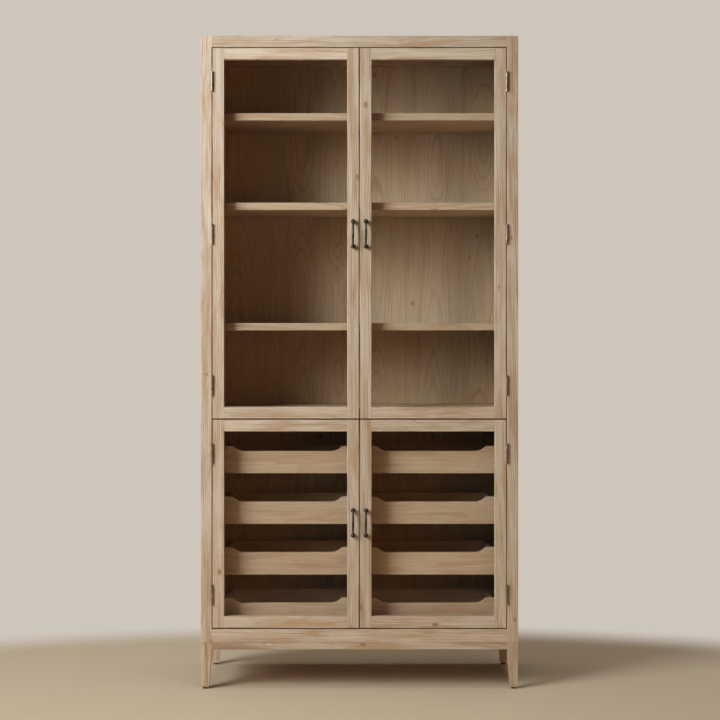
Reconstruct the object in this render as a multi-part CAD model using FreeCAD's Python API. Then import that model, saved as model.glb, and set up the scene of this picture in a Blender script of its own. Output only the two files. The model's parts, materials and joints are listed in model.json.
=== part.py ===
"""Pantry cabinet: a pine carcass on a short leg frame, four glazed doors and eight pull-out trays.

Millimetres. +Z is up, the doors face -Y, and the origin is on the floor in the middle of the
cabinet, pulls included. "Left" and "right" are as seen by someone facing the doors. Everything
is drawn on the right-hand side and mirrored to the left.
"""
import FreeCAD, Part
import math
import os

V = FreeCAD.Vector
ALONG_X, ALONG_Y, ALONG_Z = V(1, 0, 0), V(0, 1, 0), V(0, 0, 1)

# ---- driving dimensions: carcass ----
WIDTH = 1016.0
CARCASS_DEPTH = 406.0
HEIGHT = 2092.0
POST = 35.0  # square section of the corner posts and of the legs
RAIL_T = 22.0  # front rails and aprons
BACK_RAIL_T = 24.0
BACK_RAIL_H = 44.0
BACK_BOARD_T = 9.0
BACK_BOARDS = 6
BOARD_JOINT = 0.4
TONGUE_W, TONGUE_T, TONGUE_PLAY = 5.0, 3.0, 0.3  # the back boards are tongued into each other
PANEL_T = 18.0
SHELF_T = 24.0
EASE = 1.2  # arris taken off the show edges
CARCASS_Z0 = 147.6  # the leg frame ends here and the carcass begins
BOTTOM_RAIL_Z1 = 191.5
BOTTOM_PANEL_Z1 = 183.0
TOP_RAIL_Z0 = 2055.5
DECK_Z1 = 897.0  # top of the fixed deck between the two compartments
DIVIDER_Z0 = 835.0
MID_SIDE_RAIL_H = 44.0
SHELF_SETBACK = 45.0  # shelf and deck fronts, behind the front face
SHELF_TOPS = {"lower": 1172.0, "middle": 1561.0, "upper": 1850.0}
SHELF_PLAY = 1.5
SHELF_PIN_R, SHELF_PIN_OUT, SHELF_PIN_IN, SHELF_PIN_INSET = 2.5, 12.0, 10.0, 35.0
PARTITION_T = 26.0

# ---- leg frame ----
APRON_Z0 = 126.5
LEG_TAPER_OUT, LEG_TAPER_IN = 1.5, 9.5
TOE_H, TOE_EASE = 7.0, 2.5  # the rounded-in foot of each leg
GLIDE_R, GLIDE_H, GLIDE_STEM_R, GLIDE_STEM = 8.0, 5.0, 1.5, 12.0

# ---- doors ----
DOOR_T = 20.0
STILE_W = 37.5
SIDE_GAP, MEETING_GAP, TOP_GAP, BOTTOM_GAP, DOOR_SPLIT = 2.5, 3.5, 2.5, 4.0, 4.0
LOWER_DOOR_Z1 = 862.0
REBATE_W, FRONT_LIP, GLASS_T, GLASS_PLAY = 8.0, 7.0, 4.0, 0.5
SIGHT_EASE = 1.5  # arris round the glass opening

# ---- butt hinges ----
AXIS_OUT = 3.7  # hinge axis in front of the door faces
BARREL_R, PIN_R, PIN_PLAY, PIN_CAP = 3.5, 1.5, 0.05, 1.0
LEAF_T, LEAF_DEPTH, HINGE_LEN, HINGE_INSET = 1.0, 18.0, 62.0, 107.0
KNUCKLES, KNUCKLE_PLAY = 5, 0.3
LEAF_SCREW_Y, LEAF_SCREW_STEP, LEAF_SCREW_LEN = 10.5, 21.0, 15.0
HEAD_R, SHANK_R, HEAD_H = 3.0, 1.5, 1.0  # countersunk hinge screw

# ---- pulls and magnets ----
PULL_CC, BALL_R, BALL_OUT, BAR_R, PULL_REACH = 80.0, 7.5, 9.5, 3.6, 28.0
FOOT_R, FOOT_H, NECK_R = 6.5, 2.0, 3.6
PULL_Z = {"upper": 1457.0, "lower": 533.0}
PULL_SCREW_R, PULL_HOLE_R, PULL_SCREW_IN, PAN_R, PAN_H = 2.0, 2.2, 6.0, 4.0, 2.0
MAGNET_R, MAGNET_LEN, MAGNET_PROUD = 5.0, 11.0, 0.5
STRIKE_R, STRIKE_T, DIVIDER_BEHIND = 6.0, 1.0, 1.5

# ---- trays and their slides ----
TRAY_Z0, TRAY_PITCH, TRAY_ROWS = 192.7, 164.25, 4
TRAY_X0, TRAY_X1 = 25.7, 441.0
TRAY_H, TRAY_DIP = 88.0, 16.5
DIP_TOP_HALF, DIP_FLAT_HALF, EAR_R = 181.0, 142.0, 12.0
TRAY_FRONT_T, TRAY_SIDE_T, TRAY_BOTTOM_T, TRAY_BOTTOM_UP = 16.0, 12.0, 6.0, 8.0
TRAY_SETBACK, TRAY_LEN = 65.0, 304.0
CHANNEL_H, CHANNEL_T, CHANNEL_REACH, CHANNEL_LEN = 35.0, 1.2, 9.7, 300.0
CHANNEL_SETBACK, BAR_SETBACK = 4.0, 22.0  # fixed and moving slide members, behind the tray's front
BAR_REACH, SLIDE_PLAY, SLIDE_GAP = 5.5, 0.2, 12.7
BATTEN_H = 45.0
SLIDE_SCREW_R, SLIDE_HEAD_R, SLIDE_HEAD_H, SLIDE_SCREW_IN = 1.75, 3.5, 1.5, 10.0
SLIDE_SCREWS_Y = (40.0, 250.0)

# ---- fixings ----
STUD_SPACING, WALL_HOLE_R = 406.4, 3.0  # two wall screws on one pair of studs
BASE_SCREW_LEN, BASE_HEAD_R, BASE_SHANK_R, BASE_HEAD_H = 42.0, 4.5, 2.25, 3.0

# ---- derived places ----
FRONT = PULL_REACH - (CARCASS_DEPTH + PULL_REACH) / 2
BACK = FRONT + CARCASS_DEPTH
HALF_W = WIDTH / 2
INNER = HALF_W - POST
FRONT_POST_Y1 = FRONT + POST
BACK_POST_Y0 = BACK - POST
BOARD_Y = BACK - BACK_BOARD_T
BACK_RAIL_Y = BOARD_Y - BACK_RAIL_T
RAIL_BACK_Y = FRONT + RAIL_T
DOOR_BACK = FRONT + DOOR_T
DIVIDER_Y = DOOR_BACK + DIVIDER_BEHIND
SHELF_FRONT = FRONT + SHELF_SETBACK
DOOR_OUT = INNER - SIDE_GAP
DOOR_IN = MEETING_GAP / 2
DOOR_Z = {"upper": (LOWER_DOOR_Z1 + DOOR_SPLIT, TOP_RAIL_Z0 - TOP_GAP),
          "lower": (BOTTOM_RAIL_Z1 + BOTTOM_GAP, LOWER_DOOR_Z1)}
HINGE_Z = {"upper": (DOOR_Z["upper"][0] + HINGE_INSET, PULL_Z["upper"], DOOR_Z["upper"][1] - HINGE_INSET),
           "lower": (DOOR_Z["lower"][0] + HINGE_INSET, DOOR_Z["lower"][1] - HINGE_INSET)}
AXIS_X = INNER - SIDE_GAP / 2
AXIS_Y = FRONT - AXIS_OUT
MEETING_X = DOOR_IN + STILE_W / 2  # middle of the meeting stile
TRAY_FRONT = FRONT + TRAY_SETBACK
CHANNEL_Y = TRAY_FRONT + CHANNEL_SETBACK
CHANNEL_END = CHANNEL_Y + CHANNEL_LEN
BAR_Y = TRAY_FRONT + BAR_SETBACK
SIDE_RAIL_Z = ((CARCASS_Z0, BOTTOM_RAIL_Z1), (DECK_Z1 - MID_SIDE_RAIL_H, DECK_Z1), (TOP_RAIL_Z0, HEIGHT))


# ---- helpers ----
def box(x0, x1, y0, y1, z0, z1):
    """A plain box between two corners."""
    return Part.makeBox(x1 - x0, y1 - y0, z1 - z0, V(x0, y0, z0))


def rod(x, y, z, radius, length, direction):
    return Part.makeCylinder(radius, length, V(x, y, z), direction)


def mirrored(solids):
    """The same solids on the other side of the cabinet's middle plane."""
    return [s.mirror(V(0, 0, 0), ALONG_X) for s in solids]


def both_sides(solids):
    return solids + mirrored(solids)


def arris(along, start, end, corner, inward, size=EASE):
    """A prism that, cut from a board, takes its arris off.

    along is 0, 1 or 2 for an edge parallel to X, Y or Z, from start to end. corner holds the
    edge's place on the other two axes and inward the two signs that point into the board.
    """
    spare = 0.5
    others = [axis for axis in range(3) if axis != along]
    points = []
    for step_a, step_b in ((size + spare, -spare), (-spare, size + spare), (-spare, -spare)):
        place = [0.0, 0.0, 0.0]
        place[along] = start
        place[others[0]] = corner[0] + inward[0] * step_a
        place[others[1]] = corner[1] + inward[1] * step_b
        points.append(V(*place))
    direction = [0.0, 0.0, 0.0]
    direction[along] = end - start
    return Part.Face(Part.makePolygon(points + points[:1])).extrude(V(*direction))


def cut_all(solids, tools):
    """Each solid with every tool that reaches it cut away."""
    done = []
    for solid in solids:
        near = [t for t in tools if t.BoundBox.intersect(solid.BoundBox)]
        done.append(solid.cut(near) if near else solid)
    return done


def screw(x, y, z, direction, length, head_r=HEAD_R, shank_r=SHANK_R, head_h=HEAD_H):
    """A countersunk screw with its head flush at (x, y, z), driven along direction."""
    head = Part.makeCone(head_r, shank_r, head_h, V(x, y, z), direction)
    tip = V(x, y, z) + direction * head_h
    return head.fuse(Part.makeCylinder(shank_r, length, tip, direction)).removeSplitter()


def pan_screw(x, y, z, direction, head_r, head_h, shank_r, length):
    """A pan-head screw seated at (x, y, z): the head stands back from there, the shank goes on."""
    head = Part.makeCylinder(head_r, head_h, V(x, y, z) - direction * head_h, direction)
    return head.fuse(Part.makeCylinder(shank_r, length, V(x, y, z), direction)).removeSplitter()


def write(node, solids):
    """One STEP file for one named piece or one group of like pieces."""
    shape = solids[0] if len(solids) == 1 else Part.makeCompound(solids)
    if not shape.isValid():
        raise ValueError(node + " is not a valid shape")
    shape.exportStep("parts/" + node + ".step")


# ---- carcass ----
def frame_arrises():
    """The eased show edges of the posts, rails, aprons and legs, as cutters."""
    tools = []
    for y, inward_y in ((FRONT, 1), (BACK, -1)):
        tools.append(arris(2, GLIDE_H, HEIGHT, (HALF_W, y), (-1, inward_y)))
        for z, inward_z in ((HEIGHT, -1), (CARCASS_Z0, 1), (CARCASS_Z0, -1)):
            tools.append(arris(0, -HALF_W, HALF_W, (y, z), (inward_y, inward_z)))
        tools.append(arris(0, -INNER, INNER, (y, APRON_Z0), (inward_y, 1)))
    for z, inward_z in ((HEIGHT, -1), (CARCASS_Z0, 1), (CARCASS_Z0, -1)):
        tools.append(arris(1, FRONT, BACK, (HALF_W, z), (-1, inward_z)))
    tools.append(arris(2, BOTTOM_RAIL_Z1, TOP_RAIL_Z0, (INNER, FRONT), (1, 1)))
    tools.append(arris(0, -INNER, INNER, (FRONT, BOTTOM_RAIL_Z1), (1, -1)))
    tools.append(arris(0, -INNER, INNER, (FRONT, TOP_RAIL_Z0), (1, 1)))
    return both_sides(tools)


def posts(arrises):
    right = [box(INNER, HALF_W, FRONT, FRONT_POST_Y1, CARCASS_Z0, HEIGHT),
             box(INNER, HALF_W, BACK_POST_Y0, BACK, CARCASS_Z0, HEIGHT)]
    return cut_all(both_sides(right), arrises)


def side_rails(arrises):
    right = [box(INNER, HALF_W, FRONT_POST_Y1, BACK_POST_Y0, z0, z1) for z0, z1 in SIDE_RAIL_Z]
    return cut_all(both_sides(right), arrises)


def side_panels():
    bottom, middle, top = SIDE_RAIL_Z
    spans = ((bottom[1], middle[0]), (middle[1], top[0]))
    return both_sides([box(INNER, INNER + PANEL_T, FRONT_POST_Y1, BACK_POST_Y0, z0, z1)
                       for z0, z1 in spans])


def front_rails(arrises):
    rails = [box(-INNER, INNER, FRONT, RAIL_BACK_Y, CARCASS_Z0, BOTTOM_RAIL_Z1),
             box(-INNER, INNER, FRONT, RAIL_BACK_Y, TOP_RAIL_Z0, HEIGHT)]
    return cut_all(rails, arrises)


def magnet_places():
    """(x, z) of the door magnets, behind the corners of the doors where they meet."""
    heights = (DOOR_Z["upper"][0] + STILE_W / 2, DOOR_Z["lower"][1] - STILE_W / 2)
    return [(side * MEETING_X, z) for side in (-1, 1) for z in heights]


def divider_rail():
    depth = MAGNET_LEN - MAGNET_PROUD
    holes = [rod(x, DIVIDER_Y, z, MAGNET_R, depth, ALONG_Y) for x, z in magnet_places()]
    return cut_all([box(-INNER, INNER, DIVIDER_Y, SHELF_FRONT, DIVIDER_Z0, DECK_Z1)], holes)


def catch_magnets():
    return [rod(x, DIVIDER_Y - MAGNET_PROUD, z, MAGNET_R, MAGNET_LEN, ALONG_Y)
            for x, z in magnet_places()]


def wall_holes():
    """The two screw holes through the back for fixing the cabinet to a wall."""
    z = (TOP_RAIL_Z0 + HEIGHT) / 2
    return [rod(side * STUD_SPACING / 2, BACK_RAIL_Y - 1, z, WALL_HOLE_R, BACK - BACK_RAIL_Y + 2, ALONG_Y)
            for side in (-1, 1)]


def back_rails():
    spans = ((CARCASS_Z0, BOTTOM_RAIL_Z1), (DECK_Z1 - SHELF_T - BACK_RAIL_H, DECK_Z1 - SHELF_T),
             (TOP_RAIL_Z0, HEIGHT))
    return cut_all([box(-INNER, INNER, BACK_RAIL_Y, BOARD_Y, z0, z1) for z0, z1 in spans], wall_holes())


def back_boards():
    """Upright boards, each with a tongue on its right edge that lies in the next one's groove."""
    pitch = 2 * INNER / BACK_BOARDS
    middle_y = (BOARD_Y + BACK) / 2

    def strip(x0, x1, thickness):
        return box(x0, x1, middle_y - thickness / 2, middle_y + thickness / 2,
                   CARCASS_Z0 + EASE, HEIGHT - EASE)

    boards = []
    for i in range(BACK_BOARDS):
        x0 = -INNER + i * pitch + BOARD_JOINT / 2
        x1 = x0 + pitch - BOARD_JOINT
        board = strip(x0, x1, BACK_BOARD_T)
        if i < BACK_BOARDS - 1:
            board = board.fuse(strip(x1, x1 + TONGUE_W, TONGUE_T)).removeSplitter()
        if i > 0:
            groove_x1 = x0 - BOARD_JOINT + TONGUE_W + TONGUE_PLAY
            board = board.cut(strip(x0, groove_x1, TONGUE_T + 2 * TONGUE_PLAY))
        boards.append(board)
    return cut_all(boards, wall_holes())


def top_panel():
    return [box(-INNER, INNER, RAIL_BACK_Y, BACK_RAIL_Y, HEIGHT - PANEL_T, HEIGHT)]


def middle_deck():
    return [box(-INNER, INNER, SHELF_FRONT, BOARD_Y, DECK_Z1 - SHELF_T, DECK_Z1)]


def bottom_panel():
    return [box(-INNER, INNER, RAIL_BACK_Y, BACK_RAIL_Y, BOTTOM_PANEL_Z1 - PANEL_T, BOTTOM_PANEL_Z1)]


def centre_partition():
    half = PARTITION_T / 2
    return [box(-half, half, SHELF_FRONT, BACK_RAIL_Y, BOTTOM_PANEL_Z1, DECK_Z1 - SHELF_T)]


def shelf(top):
    half = INNER - SHELF_PLAY
    front_edges = [arris(0, -half, half, (SHELF_FRONT, top), (1, -1)),
                   arris(0, -half, half, (SHELF_FRONT, top - SHELF_T), (1, 1))]
    return cut_all([box(-half, half, SHELF_FRONT, BOARD_Y - SHELF_PLAY, top - SHELF_T, top)], front_edges)


def shelf_pins():
    pins = []
    for top in SHELF_TOPS.values():
        z = top - SHELF_T - SHELF_PIN_R
        for y in (FRONT_POST_Y1 + SHELF_PIN_INSET, BACK_POST_Y0 - SHELF_PIN_INSET):
            pins.append(rod(INNER - SHELF_PIN_OUT, y, z, SHELF_PIN_R, SHELF_PIN_OUT + SHELF_PIN_IN, ALONG_X))
    return both_sides(pins)


# ---- leg frame ----
def rectangle(x0, x1, y0, y1, z):
    return Part.makePolygon([V(x0, y0, z), V(x1, y0, z), V(x1, y1, z), V(x0, y1, z), V(x0, y0, z)])


def leg_sole(front):
    """(x0, x1, y0, y1) of the square that a right-hand leg tapers down to."""
    near, far = (LEG_TAPER_OUT, LEG_TAPER_IN) if front else (LEG_TAPER_IN, LEG_TAPER_OUT)
    y0, y1 = (FRONT, FRONT_POST_Y1) if front else (BACK_POST_Y0, BACK)
    return INNER + LEG_TAPER_IN, HALF_W - LEG_TAPER_OUT, y0 + near, y1 - far


def leg(front):
    """A right-hand leg: square beside the aprons, tapered below them, with a rounded-in toe."""
    y0, y1 = (FRONT, FRONT_POST_Y1) if front else (BACK_POST_Y0, BACK)
    block = box(INNER, HALF_W, y0, y1, APRON_Z0, CARCASS_Z0)
    x0, x1, sole_y0, sole_y1 = leg_sole(front)
    ankle = rectangle(x0, x1, sole_y0, sole_y1, GLIDE_H + TOE_H)
    toe = rectangle(x0 + TOE_EASE, x1 - TOE_EASE, sole_y0 + TOE_EASE, sole_y1 - TOE_EASE, GLIDE_H)
    taper = Part.makeLoft([rectangle(INNER, HALF_W, y0, y1, APRON_Z0), ankle], True, True)
    foot = Part.makeLoft([ankle, toe], True, True)
    return block.fuse([taper, foot]).removeSplitter()


def base_legs(arrises):
    return cut_all(both_sides([leg(True), leg(False)]), arrises)


def base_aprons(arrises):
    side = box(HALF_W - RAIL_T, HALF_W, FRONT_POST_Y1, BACK_POST_Y0, APRON_Z0, CARCASS_Z0)
    across = [box(-INNER, INNER, FRONT, RAIL_BACK_Y, APRON_Z0, CARCASS_Z0),
              box(-INNER, INNER, BACK - RAIL_T, BACK, APRON_Z0, CARCASS_Z0)]
    return cut_all(across + both_sides([side]), arrises)


def leg_glides():
    glides = []
    for front in (True, False):
        x0, x1, y0, y1 = leg_sole(front)
        x, y = (x0 + x1) / 2, (y0 + y1) / 2
        pad = rod(x, y, 0, GLIDE_R, GLIDE_H, ALONG_Z)
        glides.append(pad.fuse(rod(x, y, GLIDE_H, GLIDE_STEM_R, GLIDE_STEM, ALONG_Z)))
    return both_sides(glides)


# ---- doors ----
def door_opening(level):
    """(x0, x1, z0, z1) of the sight opening in a right-hand door."""
    z0, z1 = DOOR_Z[level]
    return DOOR_IN + STILE_W, DOOR_OUT - STILE_W, z0 + STILE_W, z1 - STILE_W


def door_frame(level):
    """Two full-height stiles and two rails, rebated behind for the glass, for a right-hand door."""
    z0, z1 = DOOR_Z[level]
    ox0, ox1, oz0, oz1 = door_opening(level)
    boards = [box(DOOR_IN, ox0, FRONT, DOOR_BACK, z0, z1), box(ox1, DOOR_OUT, FRONT, DOOR_BACK, z0, z1),
              box(ox0, ox1, FRONT, DOOR_BACK, z0, oz0), box(ox0, ox1, FRONT, DOOR_BACK, oz1, z1)]
    tools = [box(ox0 - REBATE_W, ox1 + REBATE_W, FRONT + FRONT_LIP, DOOR_BACK + 1,
                 oz0 - REBATE_W, oz1 + REBATE_W)]
    for x, inward in ((DOOR_IN, 1), (DOOR_OUT, -1)):
        tools.append(arris(2, z0, z1, (x, FRONT), (inward, 1), EASE))
    for z, inward in ((z0, 1), (z1, -1)):
        tools.append(arris(0, DOOR_IN, DOOR_OUT, (FRONT, z), (1, inward), EASE))
    for x, inward in ((ox0, -1), (ox1, 1)):
        tools.append(arris(2, oz0, oz1, (x, FRONT), (inward, 1), SIGHT_EASE))
    for z, inward in ((oz0, -1), (oz1, 1)):
        tools.append(arris(0, ox0, ox1, (FRONT, z), (1, inward), SIGHT_EASE))
    for z in (PULL_Z[level] - PULL_CC / 2, PULL_Z[level] + PULL_CC / 2):
        tools.append(rod(MEETING_X, FRONT - 1, z, PULL_HOLE_R, DOOR_T + 2, ALONG_Y))
    strike_x, strike_z = strike_place(level)
    tools.append(rod(strike_x, DOOR_BACK - STRIKE_T, strike_z, STRIKE_R, STRIKE_T + 1, ALONG_Y))
    return cut_all(boards, tools)


def strike_place(level):
    z0, z1 = DOOR_Z[level]
    return MEETING_X, (z0 + STILE_W / 2 if level == "upper" else z1 - STILE_W / 2)


def door_glass(level):
    ox0, ox1, oz0, oz1 = door_opening(level)
    reach = REBATE_W - GLASS_PLAY
    y0 = FRONT + FRONT_LIP
    return [box(ox0 - reach, ox1 + reach, y0, y0 + GLASS_T, oz0 - reach, oz1 + reach)]


def door_beads(level):
    """Four square beads that hold the glass in its rebate, flush with the back of the frame."""
    ox0, ox1, oz0, oz1 = door_opening(level)
    y0 = FRONT + FRONT_LIP + GLASS_T
    beads = []
    for x0 in (ox0 - REBATE_W, ox1):
        beads.append(box(x0, x0 + REBATE_W, y0, DOOR_BACK, oz0 - REBATE_W, oz1 + REBATE_W))
    for z0 in (oz0 - REBATE_W, oz1):
        beads.append(box(ox0, ox1, y0, DOOR_BACK, z0, z0 + REBATE_W))
    return beads


def door_pull(level):
    """A bow handle: two balls on round feet, joined by a bar that arches away from the door."""
    z = PULL_Z[level]
    half = PULL_CC / 2
    apex_y = FRONT - PULL_REACH + BAR_R
    rise = FRONT - BALL_OUT - apex_y
    radius = (half ** 2 + rise ** 2) / (2 * rise)
    sweep = 2 * math.degrees(math.asin(half / radius))
    centre = V(MEETING_X, apex_y + radius, z)
    section = Part.Face(Part.Wire(Part.makeCircle(BAR_R, V(MEETING_X, apex_y, z), ALONG_Z)))
    section.rotate(centre, ALONG_X, sweep / 2)
    pull = section.revolve(centre, ALONG_X, -sweep)
    ends = []
    for end_z in (z - half, z + half):
        ends.append(Part.makeSphere(BALL_R, V(MEETING_X, FRONT - BALL_OUT, end_z)))
        ends.append(rod(MEETING_X, FRONT - BALL_OUT, end_z, NECK_R, BALL_OUT, ALONG_Y))
        ends.append(rod(MEETING_X, FRONT - FOOT_H, end_z, FOOT_R, FOOT_H, ALONG_Y))
    pull = pull.fuse(ends).removeSplitter()
    bores = [rod(MEETING_X, FRONT - PULL_SCREW_IN, end_z, PULL_SCREW_R, PULL_SCREW_IN + 1, ALONG_Y)
             for end_z in (z - half, z + half)]
    return [pull.cut(bores)]


# ---- butt hinges ----
def knuckle_spans(z):
    """The height range of each knuckle of the hinge centred at z, bottom first."""
    height = (HINGE_LEN - (KNUCKLES - 1) * KNUCKLE_PLAY) / KNUCKLES
    z0 = z - HINGE_LEN / 2
    return [(z0 + i * (height + KNUCKLE_PLAY), z0 + i * (height + KNUCKLE_PLAY) + height)
            for i in range(KNUCKLES)]


def leaf_screws(z, x, direction):
    return [screw(x, FRONT + LEAF_SCREW_Y, z + i * LEAF_SCREW_STEP, direction, LEAF_SCREW_LEN)
            for i in (-1, 0, 1)]


def hinge_leaf(z, x0, first_knuckle, screws):
    """One leaf in the gap beside a right-hand door, with every second knuckle from the first."""
    x1 = x0 + LEAF_T
    leaf = box(x0, x1, FRONT, FRONT + LEAF_DEPTH, z - HINGE_LEN / 2, z + HINGE_LEN / 2)
    rings = []
    for low, high in knuckle_spans(z)[first_knuckle::2]:
        rings.append(rod(AXIS_X, AXIS_Y, low, BARREL_R, high - low, ALONG_Z))
        rings.append(box(x0, x1, AXIS_Y, FRONT, low, high))
    bore = rod(AXIS_X, AXIS_Y, z - HINGE_LEN / 2 - 1, PIN_R + PIN_PLAY, HINGE_LEN + 2, ALONG_Z)
    return leaf.fuse(rings).removeSplitter().cut([bore] + screws)


def cabinet_screws_at(z):
    return leaf_screws(z, INNER - LEAF_T, ALONG_X)


def door_screws_at(z):
    return leaf_screws(z, DOOR_OUT + LEAF_T, -ALONG_X)


def all_hinges():
    return HINGE_Z["upper"] + HINGE_Z["lower"]


def cabinet_hinge_leaves():
    return both_sides([hinge_leaf(z, INNER - LEAF_T, 0, cabinet_screws_at(z)) for z in all_hinges()])


def hinge_pins():
    pins = []
    for z in all_hinges():
        low, high = z - HINGE_LEN / 2, z + HINGE_LEN / 2
        caps = [rod(AXIS_X, AXIS_Y, low - PIN_CAP, BARREL_R, PIN_CAP, ALONG_Z),
                rod(AXIS_X, AXIS_Y, high, BARREL_R, PIN_CAP, ALONG_Z)]
        pins.append(rod(AXIS_X, AXIS_Y, low, PIN_R, HINGE_LEN, ALONG_Z).fuse(caps).removeSplitter())
    return both_sides(pins)


def door_hinges(level):
    """The door-side leaves and screws, with the pull's screws and the steel strike disc."""
    fittings = []
    for z in HINGE_Z[level]:
        fittings.append(hinge_leaf(z, DOOR_OUT, 1, door_screws_at(z)))
        fittings.extend(door_screws_at(z))
    length = DOOR_T + PULL_SCREW_IN
    for z in (PULL_Z[level] - PULL_CC / 2, PULL_Z[level] + PULL_CC / 2):
        fittings.append(pan_screw(MEETING_X, DOOR_BACK, z, -ALONG_Y, PAN_R, PAN_H, PULL_SCREW_R, length))
    x, z = strike_place(level)
    fittings.append(rod(x, DOOR_BACK - STRIKE_T, z, STRIKE_R, STRIKE_T, ALONG_Y))
    return fittings


# ---- trays and slides ----
def tray_bottom(row):
    return TRAY_Z0 + row * TRAY_PITCH


def slide_middle(row):
    return tray_bottom(row) + TRAY_H / 2


def arc_about(cx, cz, radius, start, end, y):
    """The arc about (cx, cz) in the plane at y, between two angles in radians from +X."""
    points = [V(cx + radius * math.cos(a), y, cz + radius * math.sin(a))
              for a in (start, (start + end) / 2, end)]
    return Part.Arc(*points).toShape()


def tray_front(z0):
    """The front board: high ears at both ends and a long dip between, joined by S-curves."""
    z1, low = z0 + TRAY_H, z0 + TRAY_H - TRAY_DIP
    y = TRAY_FRONT
    middle = (TRAY_X0 + TRAY_X1) / 2
    run = DIP_TOP_HALF - DIP_FLAT_HALF
    turn = 2 * math.atan(TRAY_DIP / run)
    hollow_r = run / math.sin(turn) - EAR_R
    up, down = math.pi / 2, -math.pi / 2
    left_ear, right_ear = middle - DIP_TOP_HALF, middle + DIP_TOP_HALF
    left_flat, right_flat = middle - DIP_FLAT_HALF, middle + DIP_FLAT_HALF
    edges = [Part.makeLine(V(TRAY_X0, y, z0), V(TRAY_X0, y, z1)),
             Part.makeLine(V(TRAY_X0, y, z1), V(left_ear, y, z1)),
             arc_about(left_ear, z1 - EAR_R, EAR_R, up, up - turn, y),
             arc_about(left_flat, low + hollow_r, hollow_r, down - turn, down, y),
             Part.makeLine(V(left_flat, y, low), V(right_flat, y, low)),
             arc_about(right_flat, low + hollow_r, hollow_r, down, down + turn, y),
             arc_about(right_ear, z1 - EAR_R, EAR_R, up + turn, up, y),
             Part.makeLine(V(right_ear, y, z1), V(TRAY_X1, y, z1)),
             Part.makeLine(V(TRAY_X1, y, z1), V(TRAY_X1, y, z0)),
             Part.makeLine(V(TRAY_X1, y, z0), V(TRAY_X0, y, z0))]
    return Part.Face(Part.Wire(edges)).extrude(V(0, TRAY_FRONT_T, 0))


def tray_boards(row):
    """Front, two sides, back and a raised bottom for a right-hand tray.

    The sides and the back are as high as the dip in the front.
    """
    z0 = tray_bottom(row)
    z1 = z0 + TRAY_H - TRAY_DIP
    y0, y1 = TRAY_FRONT + TRAY_FRONT_T, TRAY_FRONT + TRAY_LEN
    left, right = TRAY_X0 + TRAY_SIDE_T, TRAY_X1 - TRAY_SIDE_T
    floor = z0 + TRAY_BOTTOM_UP
    return [tray_front(z0),
            box(TRAY_X0, left, y0, y1, z0, z1),
            box(right, TRAY_X1, y0, y1, z0, z1),
            box(left, right, y1 - TRAY_SIDE_T, y1, z0, z1),
            box(left, right, y0, y1 - TRAY_SIDE_T, floor, floor + TRAY_BOTTOM_T)]


def c_section(x, toward, reach, height, y0, z):
    """A channel from y0 back, with its web against the plane at x and its open side facing toward."""
    half = height / 2
    lip_x = x + toward * reach
    outer = box(min(x, lip_x), max(x, lip_x), y0, CHANNEL_END, z - half, z + half)
    inner_x = x + toward * CHANNEL_T
    mouth_x = lip_x + toward
    inner = box(min(inner_x, mouth_x), max(inner_x, mouth_x), y0 - 1, CHANNEL_END + 1,
                z - half + CHANNEL_T, z + half - CHANNEL_T)
    return outer.cut(inner)


def slide_screws(x, toward, z):
    """Two pan-head screws inside a channel whose web is against x, driven away from toward."""
    seat = x + toward * CHANNEL_T
    length = CHANNEL_T + SLIDE_SCREW_IN
    return [pan_screw(seat, CHANNEL_Y + along, z, -ALONG_X * toward, SLIDE_HEAD_R, SLIDE_HEAD_H,
                      SLIDE_SCREW_R, length) for along in SLIDE_SCREWS_Y]


def tray_runners(row):
    """The two moving slide members of a right-hand tray, with their screws."""
    z = slide_middle(row)
    height = CHANNEL_H - 2 * CHANNEL_T - 2 * SLIDE_PLAY
    pieces = []
    for x, toward in ((TRAY_X0, -1), (TRAY_X1, 1)):
        screws = slide_screws(x, toward, z)
        pieces.append(c_section(x, toward, BAR_REACH, height, BAR_Y, z).cut(screws))
        pieces.extend(screws)
    return pieces


def channel_places():
    """(x, toward, z) of each fixed slide member on the right-hand side."""
    walls = ((TRAY_X0 - SLIDE_GAP, 1), (TRAY_X1 + SLIDE_GAP, -1))
    return [(x, toward, slide_middle(row)) for row in range(TRAY_ROWS) for x, toward in walls]


def runner_channels():
    return both_sides([c_section(x, toward, CHANNEL_REACH, CHANNEL_H, CHANNEL_Y, z)
                       .cut(slide_screws(x, toward, z)) for x, toward, z in channel_places()])


def runner_battens():
    half = BATTEN_H / 2
    return both_sides([box(TRAY_X1 + SLIDE_GAP, INNER, SHELF_FRONT, BACK_POST_Y0,
                           slide_middle(row) - half, slide_middle(row) + half)
                       for row in range(TRAY_ROWS)])


def cabinet_screws():
    """The screws of the cabinet-side hinge leaves, the slides and the leg frame."""
    screws = []
    for z in all_hinges():
        screws.extend(cabinet_screws_at(z))
    for x, toward, z in channel_places():
        screws.extend(slide_screws(x, toward, z))
    middle_y = (FRONT + BACK) / 2
    for x, y in ((INNER / 2, FRONT + RAIL_T / 2), (INNER / 2, BACK - RAIL_T + BACK_BOARD_T / 2),
                 (HALF_W - RAIL_T / 2, middle_y)):
        screws.append(screw(x, y, APRON_Z0, ALONG_Z, BASE_SCREW_LEN, BASE_HEAD_R, BASE_SHANK_R, BASE_HEAD_H))
    return both_sides(screws)


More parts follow.
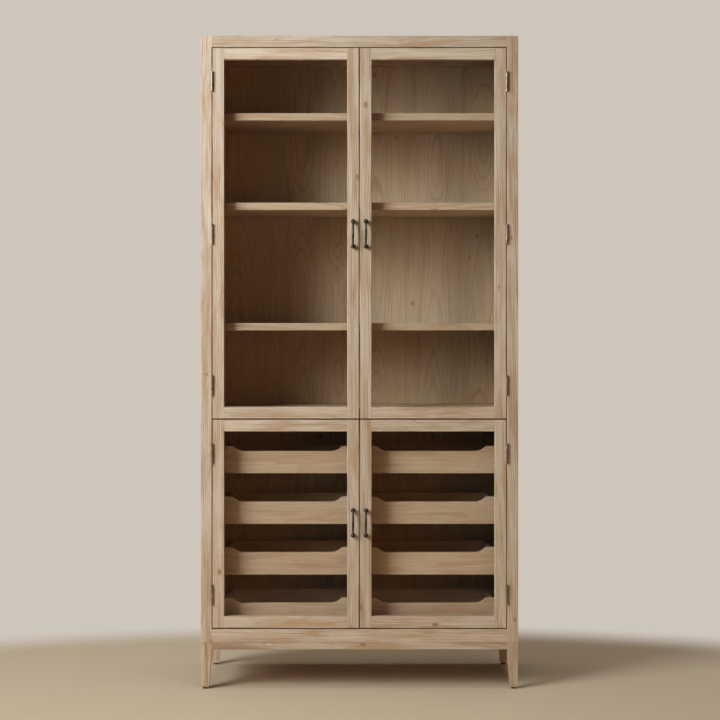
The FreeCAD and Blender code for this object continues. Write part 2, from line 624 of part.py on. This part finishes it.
# ---- write every piece ----
def main():
    os.makedirs("parts", exist_ok=True)
    arrises = frame_arrises()
    write("posts", posts(arrises))
    write("side_rails", side_rails(arrises))
    write("side_panels", side_panels())
    write("front_rails", front_rails(arrises))
    write("divider_rail", divider_rail())
    write("catch_magnets", catch_magnets())
    write("back_rails", back_rails())
    write("back_boards", back_boards())
    write("top_panel", top_panel())
    write("middle_deck", middle_deck())
    write("bottom_panel", bottom_panel())
    write("centre_partition", centre_partition())
    for name, top in SHELF_TOPS.items():
        write("shelf_" + name, shelf(top))
    write("shelf_pins", shelf_pins())
    write("base_legs", base_legs(arrises))
    write("base_aprons", base_aprons(arrises))
    write("leg_glides", leg_glides())
    write("cabinet_hinge_leaves", cabinet_hinge_leaves())
    write("hinge_pins", hinge_pins())
    write("runner_battens", runner_battens())
    write("runner_channels", runner_channels())
    write("cabinet_screws", cabinet_screws())
    for side, place in (("right", list), ("left", mirrored)):
        for level in ("upper", "lower"):
            door = level + "_" + side + "_door_"
            write(door + "frame", place(door_frame(level)))
            write(door + "glass", place(door_glass(level)))
            write(door + "beads", place(door_beads(level)))
            write(door + "pull", place(door_pull(level)))
            write(door + "hinges", place(door_hinges(level)))
        for row in range(TRAY_ROWS):
            tray = "%s_tray_%d" % (side, row + 1)
            write(tray + "_boards", place(tray_boards(row)))
            write(tray + "_runners", place(tray_runners(row)))


main()
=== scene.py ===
"""Looks of the pantry cabinet: knotty pine boards, clear panes, dark bronze ironmongery.

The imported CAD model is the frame. Every wooden node is rebuilt board by board from its own mesh,
with softened arrises and with coordinates that run along each board's grain, so that one pine
material gives every board its own rings, streaks and knots. Metres, +Z up, doors facing -Y.
"""
import json
import math
import random

import bmesh
import bpy
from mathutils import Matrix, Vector

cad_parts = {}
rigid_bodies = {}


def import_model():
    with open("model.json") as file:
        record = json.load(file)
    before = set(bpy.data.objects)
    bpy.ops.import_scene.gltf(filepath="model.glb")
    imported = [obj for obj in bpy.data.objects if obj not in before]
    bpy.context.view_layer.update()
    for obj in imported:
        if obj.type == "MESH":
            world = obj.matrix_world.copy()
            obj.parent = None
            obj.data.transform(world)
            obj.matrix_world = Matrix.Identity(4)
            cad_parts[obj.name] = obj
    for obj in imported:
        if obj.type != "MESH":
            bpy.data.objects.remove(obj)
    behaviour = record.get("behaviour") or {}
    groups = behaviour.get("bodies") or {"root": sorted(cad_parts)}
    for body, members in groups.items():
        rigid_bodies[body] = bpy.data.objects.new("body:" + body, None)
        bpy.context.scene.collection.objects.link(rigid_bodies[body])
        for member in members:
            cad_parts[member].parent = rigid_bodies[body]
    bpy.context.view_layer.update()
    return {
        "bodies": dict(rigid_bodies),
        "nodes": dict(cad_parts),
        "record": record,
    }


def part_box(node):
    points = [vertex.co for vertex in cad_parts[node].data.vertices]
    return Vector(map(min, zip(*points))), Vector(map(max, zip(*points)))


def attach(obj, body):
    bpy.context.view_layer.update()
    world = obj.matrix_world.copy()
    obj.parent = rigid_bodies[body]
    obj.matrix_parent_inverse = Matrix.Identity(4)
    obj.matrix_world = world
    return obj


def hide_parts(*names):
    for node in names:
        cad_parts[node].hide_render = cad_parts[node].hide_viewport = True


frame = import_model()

NODES = frame["nodes"]
BODY_OF = {node: body for body, members in frame["record"]["behaviour"]["bodies"].items()
           for node in members}
SLOT_OF = {part["node"]: part["material_slot"] for part in frame["record"]["subparts"]}
MM = 0.001
ARRIS = 0.5 * MM                  # rounding of every board's edges
FLAT_ANGLE = math.radians(1.0)    # faces that meet at less than this are one face
SHARP_ANGLE = math.radians(25)    # edges that turn by more than this are rounded
RING_SPACING = 7.0 * MM           # growth rings of the pine


# ---- node graphs ----
class Graph:
    """A material's node tree, written as expressions."""

    def __init__(self, name):
        self.material = bpy.data.materials.new(name)
        self.material.use_nodes = True
        self.tree = self.material.node_tree
        self.tree.nodes.clear()

    def node(self, kind, settings=None, **inputs):
        made = self.tree.nodes.new(kind)
        for key, value in (settings or {}).items():
            setattr(made, key, value)
        for key, value in inputs.items():
            self.feed(made.inputs[key.replace("_", " ")], value)
        return made

    def feed(self, socket, value):
        if isinstance(value, bpy.types.NodeSocket):
            self.tree.links.new(value, socket)
        else:
            socket.default_value = value

    def math(self, operation, first, second=0.0):
        made = self.node("ShaderNodeMath", {"operation": operation})
        for socket, value in zip(made.inputs, (first, second)):
            self.feed(socket, value)
        return made.outputs[0]

    def add(self, first, second):
        return self.math("ADD", first, second)

    def times(self, first, second):
        return self.math("MULTIPLY", first, second)

    def vector(self, x, y, z):
        return self.node("ShaderNodeCombineXYZ", X=x, Y=y, Z=z).outputs[0]

    def noise(self, vector, scale=1.0, detail=2.0, roughness=0.5, distortion=0.0):
        made = self.node("ShaderNodeTexNoise", Vector=vector, Scale=scale, Detail=detail,
                         Roughness=roughness, Distortion=distortion)
        return made.outputs["Fac"]

    def ramp(self, value, low, high, to_low=0.0, to_high=1.0, smooth=True):
        """value mapped from low..high to to_low..to_high, clamped."""
        made = self.node("ShaderNodeMapRange",
                         {"interpolation_type": "SMOOTHSTEP" if smooth else "LINEAR"})
        for socket, number in zip(made.inputs, (value, low, high, to_low, to_high)):
            self.feed(socket, number)
        return made.outputs[0]

    def mix(self, factor, first, second, blend="MIX"):
        made = self.node("ShaderNodeMix", {"data_type": "RGBA", "blend_type": blend})
        for index, value in ((0, factor), (6, first), (7, second)):
            self.feed(made.inputs[index], value)
        return made.outputs[2]

    def blend(self, factor, first, second):
        """first where factor is 0 and second where it is 1; both are shaders."""
        made = self.node("ShaderNodeMixShader")
        for socket, value in zip(made.inputs, (factor, first, second)):
            self.feed(socket, value)
        return made.outputs[0]

    def surface(self, shader):
        out = self.node("ShaderNodeOutputMaterial")
        self.tree.links.new(shader, out.inputs["Surface"])
        return self.material

    def principled(self, **inputs):
        return self.node("ShaderNodeBsdfPrincipled", **inputs).outputs[0]

    def bump(self, height, strength, distance):
        return self.node("ShaderNodeBump", Strength=strength, Distance=distance,
                         Height=height).outputs[0]


def rgb(red, green, blue):
    return (red, green, blue, 1.0)


# ---- materials ----
LIMED = {"pale": rgb(0.645, 0.535, 0.412), "honey": rgb(0.500, 0.358, 0.232),
         "ash": rgb(0.580, 0.498, 0.400), "brown": rgb(0.415, 0.265, 0.155),
         "amber": rgb(0.300, 0.168, 0.085), "lime": rgb(0.700, 0.605, 0.490),
         "ochre": rgb(0.470, 0.290, 0.160)}
NATURAL = {"pale": rgb(0.608, 0.468, 0.328), "honey": rgb(0.496, 0.344, 0.214),
           "ash": rgb(0.516, 0.400, 0.280), "brown": rgb(0.400, 0.250, 0.138),
           "amber": rgb(0.300, 0.160, 0.078), "lime": rgb(0.624, 0.488, 0.348),
           "ochre": rgb(0.448, 0.276, 0.148)}
# Darker, greyer pine for the back boards: partly their own tone, partly painted shade for the deep
# inside of the cabinet.
BACK_SHADED = {"pale": rgb(0.552, 0.455, 0.329), "honey": rgb(0.470, 0.355, 0.229),
        "ash": rgb(0.496, 0.428, 0.320), "brown": rgb(0.380, 0.262, 0.158),
        "amber": rgb(0.270, 0.162, 0.086), "lime": rgb(0.560, 0.474, 0.343),
        "ochre": rgb(0.388, 0.266, 0.153)}


def pine_material(name, palette, knotty, streaky, figured, patchy):
    """Flat-sawn pine: growth rings about a wandering pith, drawn-out streaks, fibres and knots.

    The mesh attribute "grain" holds, in metres, the distance along the grain and the two offsets
    from the tree's pith; "tone" is a number from 0 to 1 for each board. knotty is the share of
    possible knots that show; streaky, figured and patchy are how strongly the streaks, the rings
    and the patches of limed and bare wood do.
    """
    g = Graph(name)
    grain = g.node("ShaderNodeAttribute", {"attribute_name": "grain"}).outputs["Vector"]
    tone = g.node("ShaderNodeAttribute", {"attribute_name": "tone"}).outputs["Fac"]
    parts = g.node("ShaderNodeSeparateXYZ", Vector=grain)
    u, v, w = parts.outputs

    def stretched(along, across):
        return g.vector(g.times(u, along), g.times(v, across), g.times(w, across))

    # knots: cell centres that lie close to the surface, for some of the cells
    cells = g.node("ShaderNodeTexVoronoi", Vector=stretched(14.0, 25.0), Scale=1.0, Randomness=1.0)
    lot = g.node("ShaderNodeSeparateColor", Color=cells.outputs["Color"]).outputs
    chosen = g.math("LESS_THAN", lot[0], knotty)
    apart = g.times(cells.outputs["Distance"], g.ramp(lot[1], 0.0, 1.0, 1.0, 2.6, False))
    ragged = g.times(g.add(g.noise(stretched(90.0, 170.0), 1.0, 2.0), -0.5), 0.12)
    near = g.add(apart, ragged)
    knot = g.times(g.ramp(near, 0.165, 0.120), chosen)
    knot_rim = g.times(g.times(g.ramp(near, 0.190, 0.158), g.ramp(near, 0.118, 0.150)), chosen)
    knot_heart = g.times(g.ramp(near, 0.060, 0.015), chosen)
    halo = g.times(g.ramp(apart, 0.42, 0.12), chosen)
    swirl = g.times(g.ramp(apart, 0.48, 0.0, 0.0, 0.008), chosen)

    # growth rings
    drift = g.noise(g.vector(g.times(u, 1.5), 0.0, g.times(v, 1.2)), 1.0, 1.0)
    wander = g.times(g.add(drift, -0.5), 0.17)
    behind = g.add(w, wander)
    wave = g.times(g.add(g.noise(stretched(5.0, 26.0), 1.0, 2.0), -0.5), 0.0075)
    reach = g.math("SQRT", g.add(g.times(v, v), g.times(behind, behind)))
    reach = g.add(g.add(reach, wave), swirl)
    phase = g.times(reach, 1.0 / RING_SPACING)
    within = g.math("FRACT", phase)
    latewood = g.times(g.ramp(within, 0.50, 0.84), g.ramp(within, 1.0, 0.93))
    year = g.noise(g.vector(g.times(phase, 0.8), g.times(u, 1.6), 3.0), 1.0, 1.0)
    latewood = g.times(latewood, g.ramp(year, 0.36, 0.64, 0.12, 1.0))

    # streaks and fibres drawn out along the grain
    broad = g.noise(stretched(0.9, 30.0), 1.0, 3.0, 0.55)
    streak = g.noise(stretched(2.6, 170.0), 1.0, 4.0, 0.75)
    fibre = g.noise(stretched(16.0, 900.0), 1.0, 3.0, 0.6)
    cloud = g.noise(stretched(2.0, 8.0), 1.0, 2.0)
    patch = g.noise(stretched(5.0, 34.0), 1.0, 2.0, 0.6, 0.4)

    colour = g.mix(g.times(g.ramp(streak, 0.40, 0.62), streaky), palette["pale"], palette["honey"])
    colour = g.mix(g.times(g.ramp(cloud, 0.42, 0.70), 0.6), colour, palette["ash"])
    colour = g.mix(g.times(g.ramp(broad, 0.48, 0.70), 0.5 * streaky), colour, palette["brown"])
    colour = g.mix(g.ramp(patch, 0.51, 0.66, 0.0, 0.85 * patchy), colour, palette["lime"])
    colour = g.mix(g.ramp(patch, 0.49, 0.34, 0.0, patchy), colour, palette["ochre"])
    colour = g.mix(g.times(halo, 0.45), colour, palette["honey"])
    colour = g.mix(g.times(latewood, figured), colour, palette["amber"])
    colour = g.mix(g.times(knot, 0.75), colour, rgb(0.370, 0.195, 0.092))
    colour = g.mix(g.times(knot_rim, 0.6), colour, rgb(0.190, 0.088, 0.040))
    colour = g.mix(g.times(knot_heart, 0.7), colour, rgb(0.150, 0.072, 0.034))
    light = g.add(g.ramp(tone, 0.0, 1.0, 0.93, 1.07, False), g.times(g.add(fibre, -0.5), 0.26))
    grey = g.node("ShaderNodeCombineColor", Red=light, Green=light, Blue=light).outputs[0]
    colour = g.mix(1.0, colour, grey, "MULTIPLY")

    height = g.add(g.times(latewood, 0.35), g.add(g.times(fibre, 0.55), g.times(streak, 0.3)))
    height = g.add(height, g.times(knot, 0.6))
    roughness = g.add(g.times(fibre, 0.16), g.add(0.50, g.times(latewood, -0.08)))
    return g.surface(g.principled(Base_Color=colour, Roughness=roughness, Specular_IOR_Level=0.32,
                                  Normal=g.bump(height, 0.35, 0.0004)))


def bronze_material(name, dark, rubbed, base_roughness):
    """Bronze with a dark skin, rubbed brighter in patches."""
    g = Graph(name)
    place = g.node("ShaderNodeTexCoord").outputs["Object"]
    worn = g.ramp(g.noise(place, 120.0, 4.0, 0.65), 0.42, 0.68)
    fine = g.noise(place, 900.0, 3.0, 0.6)
    colour = g.mix(worn, dark, rubbed)
    roughness = g.add(g.times(fine, 0.16), g.times(worn, -0.08))
    return g.surface(g.principled(Base_Color=colour, Metallic=0.8,
                                  Roughness=g.add(roughness, base_roughness),
                                  Normal=g.bump(fine, 0.2, 0.0001)))


def steel_material():
    """Zinc-plated steel with a spangled tone."""
    g = Graph("zinc_steel")
    place = g.node("ShaderNodeTexCoord").outputs["Object"]
    spangle = g.noise(place, 260.0, 2.0)
    colour = g.mix(g.ramp(spangle, 0.4, 0.62), rgb(0.40, 0.41, 0.42), rgb(0.56, 0.56, 0.55))
    return g.surface(g.principled(Base_Color=colour, Metallic=1.0,
                                  Roughness=g.add(g.times(spangle, 0.22), 0.28),
                                  Normal=g.bump(spangle, 0.1, 0.0001)))


def glide_material():
    """Dark nylon with a fine grit."""
    g = Graph("glide_nylon")
    place = g.node("ShaderNodeTexCoord").outputs["Object"]
    grit = g.noise(place, 1400.0, 3.0, 0.6)
    colour = g.mix(grit, rgb(0.018, 0.014, 0.011), rgb(0.045, 0.036, 0.028))
    return g.surface(g.principled(Base_Color=colour, Roughness=g.add(g.times(grit, 0.2), 0.5),
                                  Normal=g.bump(grit, 0.25, 0.0001)))


def glass_material():
    """A thin clear pane: what is behind it, faintly tinted, under a mirror that grows at a slant.

    Only faces met from outside the glass mirror. From inside, a Fresnel share turns back most
    slanting light, which a pane with two parallel faces lets through.
    """
    g = Graph("pane_glass")
    clear = g.node("ShaderNodeBsdfTransparent", Color=rgb(0.992, 0.989, 0.983)).outputs[0]
    mirror = g.node("ShaderNodeBsdfGlossy", Color=rgb(1.0, 1.0, 1.0), Roughness=0.02).outputs[0]
    slant = g.node("ShaderNodeFresnel", IOR=1.45).outputs[0]
    outside = g.math("SUBTRACT", 1.0, g.node("ShaderNodeNewGeometry").outputs["Backfacing"])
    return g.surface(g.blend(g.times(slant, outside), clear, mirror))


# ---- boards ----
def solids_of(node):
    """The faces of a CAD node in groups, one for each closed solid in it.

    Two faces belong together when they share an edge that no third face uses.
    """
    mesh = NODES[node].data
    places = [tuple(round(c, 6) for c in vertex.co) for vertex in mesh.vertices]
    users = {}
    for face in mesh.polygons:
        corners = [places[i] for i in face.vertices]
        for a, b in zip(corners, corners[1:] + corners[:1]):
            users.setdefault(frozenset((a, b)), []).append(face.index)
    neighbours = {face.index: [] for face in mesh.polygons}
    for faces in users.values():
        if len(faces) == 2:
            neighbours[faces[0]].append(faces[1])
            neighbours[faces[1]].append(faces[0])
    groups, seen = [], set()
    for start in neighbours:
        if start in seen:
            continue
        group, stack = [], [start]
        seen.add(start)
        while stack:
            face = stack.pop()
            group.append(face)
            for other in neighbours[face]:
                if other not in seen:
                    seen.add(other)
                    stack.append(other)
        groups.append([[places[i] for i in mesh.polygons[f].vertices] for f in group])
    return groups


def board_mesh(faces):
    """One solid as clean polygons with its sharp edges rounded."""
    bm = bmesh.new()
    made = {}
    for corners in faces:
        for place in corners:
            if place not in made:
                made[place] = bm.verts.new(place)
        if len(set(corners)) > 2 and bm.faces.get([made[p] for p in corners]) is None:
            bm.faces.new([made[p] for p in corners])
    bmesh.ops.dissolve_limit(bm, angle_limit=FLAT_ANGLE, verts=bm.verts[:], edges=bm.edges[:])
    bmesh.ops.recalc_face_normals(bm, faces=bm.faces[:])
    sharp = [e for e in bm.edges if len(e.link_faces) == 2 and e.calc_face_angle() > SHARP_ANGLE]
    bmesh.ops.bevel(bm, geom=sharp, offset=ARRIS, offset_type="OFFSET", segments=2, profile=0.5,
                    affect="EDGES", clamp_overlap=True)
    return bm


def lay_grain(bm, rng, figure):
    """Writes each vertex's place in the tree, and one tone for the board.

    figure is how far the pith lies behind the board's face and beside it, in metres: near and
    central gives arched figure, far to one side gives straight grain.
    """
    low = Vector([min(v.co[i] for v in bm.verts) for i in range(3)])
    high = Vector([max(v.co[i] for v in bm.verts) for i in range(3)])
    size, middle = high - low, (high + low) / 2
    thin, wide, long = sorted(range(3), key=lambda axis: size[axis])
    depth, beside = figure
    side = rng.choice((-1, 1))
    behind = depth * rng.uniform(0.7, 1.4)
    aside = side * beside * rng.uniform(0.6, 1.3) + rng.uniform(-0.25, 0.25) * size[wide]
    lean_thin = rng.choice((-1, 1)) * rng.uniform(0.015, 0.045)
    lean_wide = rng.uniform(-0.022, 0.022)
    start = rng.uniform(0.0, 60.0)
    grain = bm.verts.layers.float_vector.new("grain")
    tone = bm.verts.layers.float.new("tone")
    shade = rng.random()
    for vertex in bm.verts:
        place = vertex.co - middle
        along = place[long]
        vertex[grain] = (along + start, place[wide] + aside + lean_wide * along,
                         place[thin] + behind + lean_thin * along)
        vertex[tone] = shade


def wood_piece(node, material, figure):
    """Every board of a CAD node as one piece that stands for it."""
    mesh = bpy.data.meshes.new("wood_" + node)
    whole = bmesh.new()
    for index, faces in enumerate(solids_of(node)):
        rng = random.Random("%s %d" % (node, index))
        bm = board_mesh(faces)
        lay_grain(bm, rng, figure)
        part = bpy.data.meshes.new("part")
        bm.to_mesh(part)
        bm.free()
        whole.from_mesh(part)
        bpy.data.meshes.remove(part)
    for face in whole.faces:
        face.smooth = True
    whole.to_mesh(mesh)
    whole.free()
    mesh.materials.append(material)
    piece = bpy.data.objects.new("wood_" + node, mesh)
    bpy.context.scene.collection.objects.link(piece)
    even = piece.modifiers.new("even_normals", "WEIGHTED_NORMAL")
    even.mode = "FACE_AREA"
    even.keep_sharp = False
    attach(piece, BODY_OF[node])
    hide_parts(node)


# how far the pith lies behind a board's face and beside it
ARCHED, STRAIGHT, MIXED = (0.055, 0.0), (0.030, 0.140), (0.060, 0.060)


def figure_of(node):
    """Wide panels are flat-sawn, rails and small boards are straight-grained."""
    if node in ("back_boards", "side_panels", "top_panel", "bottom_panel", "centre_partition"):
        return ARCHED
    if node.startswith("shelf_") or node == "middle_deck":
        return MIXED
    return STRAIGHT


INNER = ("divider_rail", "middle_deck", "centre_partition", "bottom_panel", "runner_battens",
         "shelf_lower", "shelf_middle", "shelf_upper")


def add_wood():
    outer = pine_material("pine_outer", LIMED, knotty=0.26, streaky=0.85, figured=0.62, patchy=0.60)
    inner = pine_material("pine_inner", NATURAL, knotty=0.13, streaky=0.55, figured=0.40, patchy=0.40)
    # the back boards get the darker pine, which partly paints the shade deep inside the cabinet
    back = pine_material("pine_back_shaded", BACK_SHADED, knotty=0.12, streaky=0.60, figured=0.36, patchy=0.22)
    for node, slot in SLOT_OF.items():
        if slot == "pine":
            material = outer
            if node == "back_boards":
                material = back
            elif node in INNER or node.endswith("_boards"):
                material = inner
            wood_piece(node, material, figure_of(node))


# ---- pulls ----
BALL_R = 7.5 * MM
BALL_OFF_DOOR = 9.5 * MM          # from the door's face to the ball's centre
BAR_THICK_R, BAR_THIN_R = 3.9 * MM, 2.6 * MM
BAR_STEPS, BAR_SIDES, TURNED_SIDES = 40, 24, 32
BALL_STEPS = 16                   # rings on a half circle
BALL_TIP_R = 0.4 * MM
# the turned foot under each ball: distance short of the door, radius
FOOT = ((2.6 * MM, 3.8 * MM), (2.2 * MM, 4.2 * MM), (1.9 * MM, 5.8 * MM), (1.3 * MM, 6.3 * MM),
        (0.4 * MM, 6.5 * MM), (0.0, 6.3 * MM))


def ring(bm, centre, across, up, radius, count):
    """count vertices round a circle in the plane of across and up."""
    angles = [2 * math.pi * i / count for i in range(count)]
    return [bm.verts.new(centre + across * (radius * math.cos(a)) + up * (radius * math.sin(a)))
            for a in angles]


def skin(bm, rings):
    """Quads between rings in turn, with both ends closed."""
    count = len(rings[0])
    for first, second in zip(rings, rings[1:]):
        for i in range(count):
            j = (i + 1) % count
            bm.faces.new((first[i], first[j], second[j], second[i]))
    bm.faces.new(rings[0][::-1])
    bm.faces.new(rings[-1])


def lathe(bm, base, axis, profile):
    """A turned shape: profile is (distance along axis, radius) pairs from base."""
    across = axis.orthogonal().normalized()
    up = axis.cross(across)
    skin(bm, [ring(bm, base + axis * along, across, up, radius, TURNED_SIDES)
              for along, radius in profile])


def pull_piece(door, material):
    """The bow pull: a bar that swells towards its middle, with a ball on a turned foot at each end."""
    node = door + "_pull"
    low, high = (Vector(corner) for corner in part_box(node))
    face_y = high.y
    middle_x = (low.x + high.x) / 2
    ends = (low.z + BALL_R, high.z - BALL_R)
    middle_z = sum(ends) / 2
    ball_y = face_y - BALL_OFF_DOOR

    # the bar's centre line is an arc through both balls and the foremost point
    half = (ends[1] - ends[0]) / 2
    apex_y = low.y + BAR_THICK_R
    rise = ball_y - apex_y
    radius = (half * half + rise * rise) / (2 * rise)
    swing = math.asin(half / radius)
    centre = Vector((middle_x, apex_y + radius, middle_z))
    bm = bmesh.new()
    rings = []
    for i in range(BAR_STEPS + 1):
        share = 2 * i / BAR_STEPS - 1
        angle = swing * share
        out = Vector((0, -math.cos(angle), math.sin(angle)))
        bulge = BAR_THIN_R + (BAR_THICK_R - BAR_THIN_R) * math.cos(share * math.pi / 2) ** 2
        rings.append(ring(bm, centre + out * radius, Vector((1, 0, 0)), out, bulge, BAR_SIDES))
    skin(bm, rings)

    towards_door = Vector((0, 1, 0))
    reach = face_y - (ball_y - BALL_R)
    arc = [math.pi * i / BALL_STEPS for i in range(1, BALL_STEPS - 1)]
    profile = [(0.0, BALL_TIP_R)]
    profile += [(BALL_R - BALL_R * math.cos(a), BALL_R * math.sin(a)) for a in arc]
    profile += [(reach - short, foot_r) for short, foot_r in FOOT]
    for z in ends:
        lathe(bm, Vector((middle_x, ball_y - BALL_R, z)), towards_door, profile)
    bmesh.ops.recalc_face_normals(bm, faces=bm.faces[:])
    for face in bm.faces:
        face.smooth = True
    mesh = bpy.data.meshes.new("bow_" + node)
    bm.to_mesh(mesh)
    bm.free()
    mesh.materials.append(material)
    piece = bpy.data.objects.new("bow_" + node, mesh)
    bpy.context.scene.collection.objects.link(piece)
    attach(piece, door)
    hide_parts(node)


# ---- stage, light and camera ----
FLOOR_REACH = 4.0
FLOOR_SEEN = (2.6, 1.7)           # half-lengths of the oval of floor that shows
FLOOR_MIDDLE_Y = -0.7


def floor_material():
    """A plain pale floor that fades out a few metres from the cabinet."""
    g = Graph("plain_floor")
    place = g.node("ShaderNodeSeparateXYZ",
                   Vector=g.node("ShaderNodeTexCoord").outputs["Object"]).outputs
    x = g.times(place[0], 1 / FLOOR_SEEN[0])
    y = g.times(g.add(place[1], -FLOOR_MIDDLE_Y), 1 / FLOOR_SEEN[1])
    away = g.math("SQRT", g.add(g.times(x, x), g.times(y, y)))
    pale = g.principled(Base_Color=rgb(0.62, 0.51, 0.37), Roughness=0.6)
    gone = g.node("ShaderNodeBsdfTransparent").outputs[0]
    return g.surface(g.blend(g.ramp(away, 0.78, 1.0), pale, gone))


def add_floor():
    mesh = bpy.data.meshes.new("floor")
    corners = [(x * FLOOR_REACH, y * FLOOR_REACH, 0) for x, y in ((-1, -1), (1, -1), (1, 1), (-1, 1))]
    mesh.from_pydata(corners, [], [(0, 1, 2, 3)])
    mesh.materials.append(floor_material())
    floor = bpy.data.objects.new("floor", mesh)
    bpy.context.scene.collection.objects.link(floor)
    return floor


def add_light(name, place, target, width, height, power, colour, spread=180):
    """A soft box of width by height metres and power watts, which shines within spread degrees."""
    data = bpy.data.lights.new(name, "AREA")
    data.spread = math.radians(spread)
    data.shape = "RECTANGLE"
    data.size, data.size_y = width, height
    data.energy = power
    data.color = colour
    lamp = bpy.data.objects.new(name, data)
    lamp.location = place
    lamp.rotation_euler = (Vector(target) - Vector(place)).to_track_quat("-Z", "Y").to_euler()
    bpy.context.scene.collection.objects.link(lamp)
    return lamp


def choose_lit(name, lamps, objects, state):
    """The lamps light only these objects, or with state EXCLUDE everything but them."""
    chosen = bpy.data.collections.new(name)
    for thing in objects:
        chosen.objects.link(thing)
    for member in chosen.collection_objects:
        member.light_linking.link_state = state
    for lamp in lamps:
        lamp.light_linking.receiver_collection = chosen


def add_world():
    """A pale plain backdrop for the camera, which lights the scene only faintly."""
    world = bpy.data.worlds.new("studio")
    bpy.context.scene.world = world
    world.use_nodes = True
    tree = world.node_tree
    tree.nodes.clear()
    seen = tree.nodes.new("ShaderNodeBackground")
    seen.inputs["Color"].default_value = rgb(0.62, 0.565, 0.50)
    lighting = tree.nodes.new("ShaderNodeBackground")
    lighting.inputs["Color"].default_value = rgb(1.0, 0.90, 0.78)
    lighting.inputs["Strength"].default_value = 0.06
    path = tree.nodes.new("ShaderNodeLightPath")
    mix = tree.nodes.new("ShaderNodeMixShader")
    out = tree.nodes.new("ShaderNodeOutputWorld")
    tree.links.new(path.outputs["Is Camera Ray"], mix.inputs[0])
    tree.links.new(lighting.outputs[0], mix.inputs[1])
    tree.links.new(seen.outputs[0], mix.inputs[2])
    tree.links.new(mix.outputs[0], out.inputs["Surface"])


EYE_OFF_FRONT, EYE_HEIGHT = 5.25, 1.156
EYE_ASIDE = 1.6 * MM


def add_camera():
    """Level, square to the front, and raised to about half of the cabinet's height."""
    data = bpy.data.cameras.new("camera")
    data.sensor_width = 36.0
    data.lens = 81.98
    data.shift_y = -0.0444
    data.clip_end = 50.0
    camera = bpy.data.objects.new("camera", data)
    front_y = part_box("posts")[0][1]
    camera.location = (EYE_ASIDE, front_y - EYE_OFF_FRONT, EYE_HEIGHT)
    camera.rotation_euler = (math.radians(90), 0, 0)
    bpy.context.scene.collection.objects.link(camera)
    bpy.context.scene.camera = camera


def add_studio():
    """Soft light from the upper left, and lamps for the back, the right side, the top and the floor.

    No lamp shows in the panes, and those behind and above the cabinet don't light the floor.
    """
    floor = add_floor()
    panes = [NODES[node] for node, slot in SLOT_OF.items() if slot == "glass"]
    add_world()
    middle, upper, corner = (0.0, -0.19, 1.15), (0.0, -0.19, 1.75), (-0.45, -0.19, 1.8)
    key = add_light("key", (-3.15, -2.65, 2.65), upper, width=2.0, height=2.4, power=66.0,
                    colour=(1.0, 0.97, 0.925), spread=125)
    sky = add_light("sky", (-2.6, -2.2, 3.2), corner, width=1.5, height=1.3, power=18.0,
                    colour=(0.66, 0.87, 1.0), spread=90)
    front = add_light("front", (-3.0, -3.9, 2.9), upper, width=1.5, height=1.2, power=17.0,
                      colour=(1.0, 0.85, 0.66), spread=125)
    fill = add_light("fill", (2.6, -4.6, 0.9), middle, width=2.5, height=1.6, power=15.0,
                     colour=(1.0, 0.38, 0.07))
    front.visible_glossy = False
    choose_lit("panes", (key, sky, fill), panes, "EXCLUDE")

    back = add_light("back", (1.0, 4.4, 1.9), middle, width=2.5, height=2.0, power=110.0,
                     colour=(1.0, 0.92, 0.84))
    side = add_light("side", (3.7, 0.9, 1.9), (0.5, 0.0, 1.1), width=2.0, height=2.0, power=38.0,
                     colour=(1.0, 0.91, 0.82))
    above = add_light("above", (0.0, 0.5, 4.6), (0.0, 0.0, 2.1), width=1.5, height=1.5, power=16.0,
                      colour=(1.0, 0.94, 0.87))
    choose_lit("floor_and_panes", (back, side, above), [floor] + panes, "EXCLUDE")
    overhead = add_light("overhead", (0.0, -0.3, 5.5), (0.0, -0.3, 0.0), width=3.0, height=3.0,
                         power=118.0, colour=(1.0, 0.94, 0.87))
    choose_lit("floor_only", (overhead,), [floor], "INCLUDE")


def finish_nodes(materials, hinge_metal):
    """Gives the CAD nodes that stay their materials."""
    for node, slot in SLOT_OF.items():
        if slot in materials:
            mesh = NODES[node].data
            mesh.materials.clear()
            mesh.materials.append(hinge_metal if "hinge" in node else materials[slot])


bpy.context.scene.view_settings.view_transform = "Standard"
bronze = bronze_material("dark_bronze", dark=rgb(0.042, 0.034, 0.028),
                         rubbed=rgb(0.170, 0.132, 0.098), base_roughness=0.34)
hinge_metal = bronze_material("rubbed_bronze", dark=rgb(0.230, 0.185, 0.145),
                              rubbed=rgb(0.480, 0.430, 0.370), base_roughness=0.36)
finish_nodes({"bronze": bronze, "steel": steel_material(), "glide": glide_material(),
              "glass": glass_material()}, hinge_metal)
add_wood()
for body in frame["bodies"]:
    if body.endswith("_door"):
        pull_piece(body, bronze)
add_studio()
add_camera()
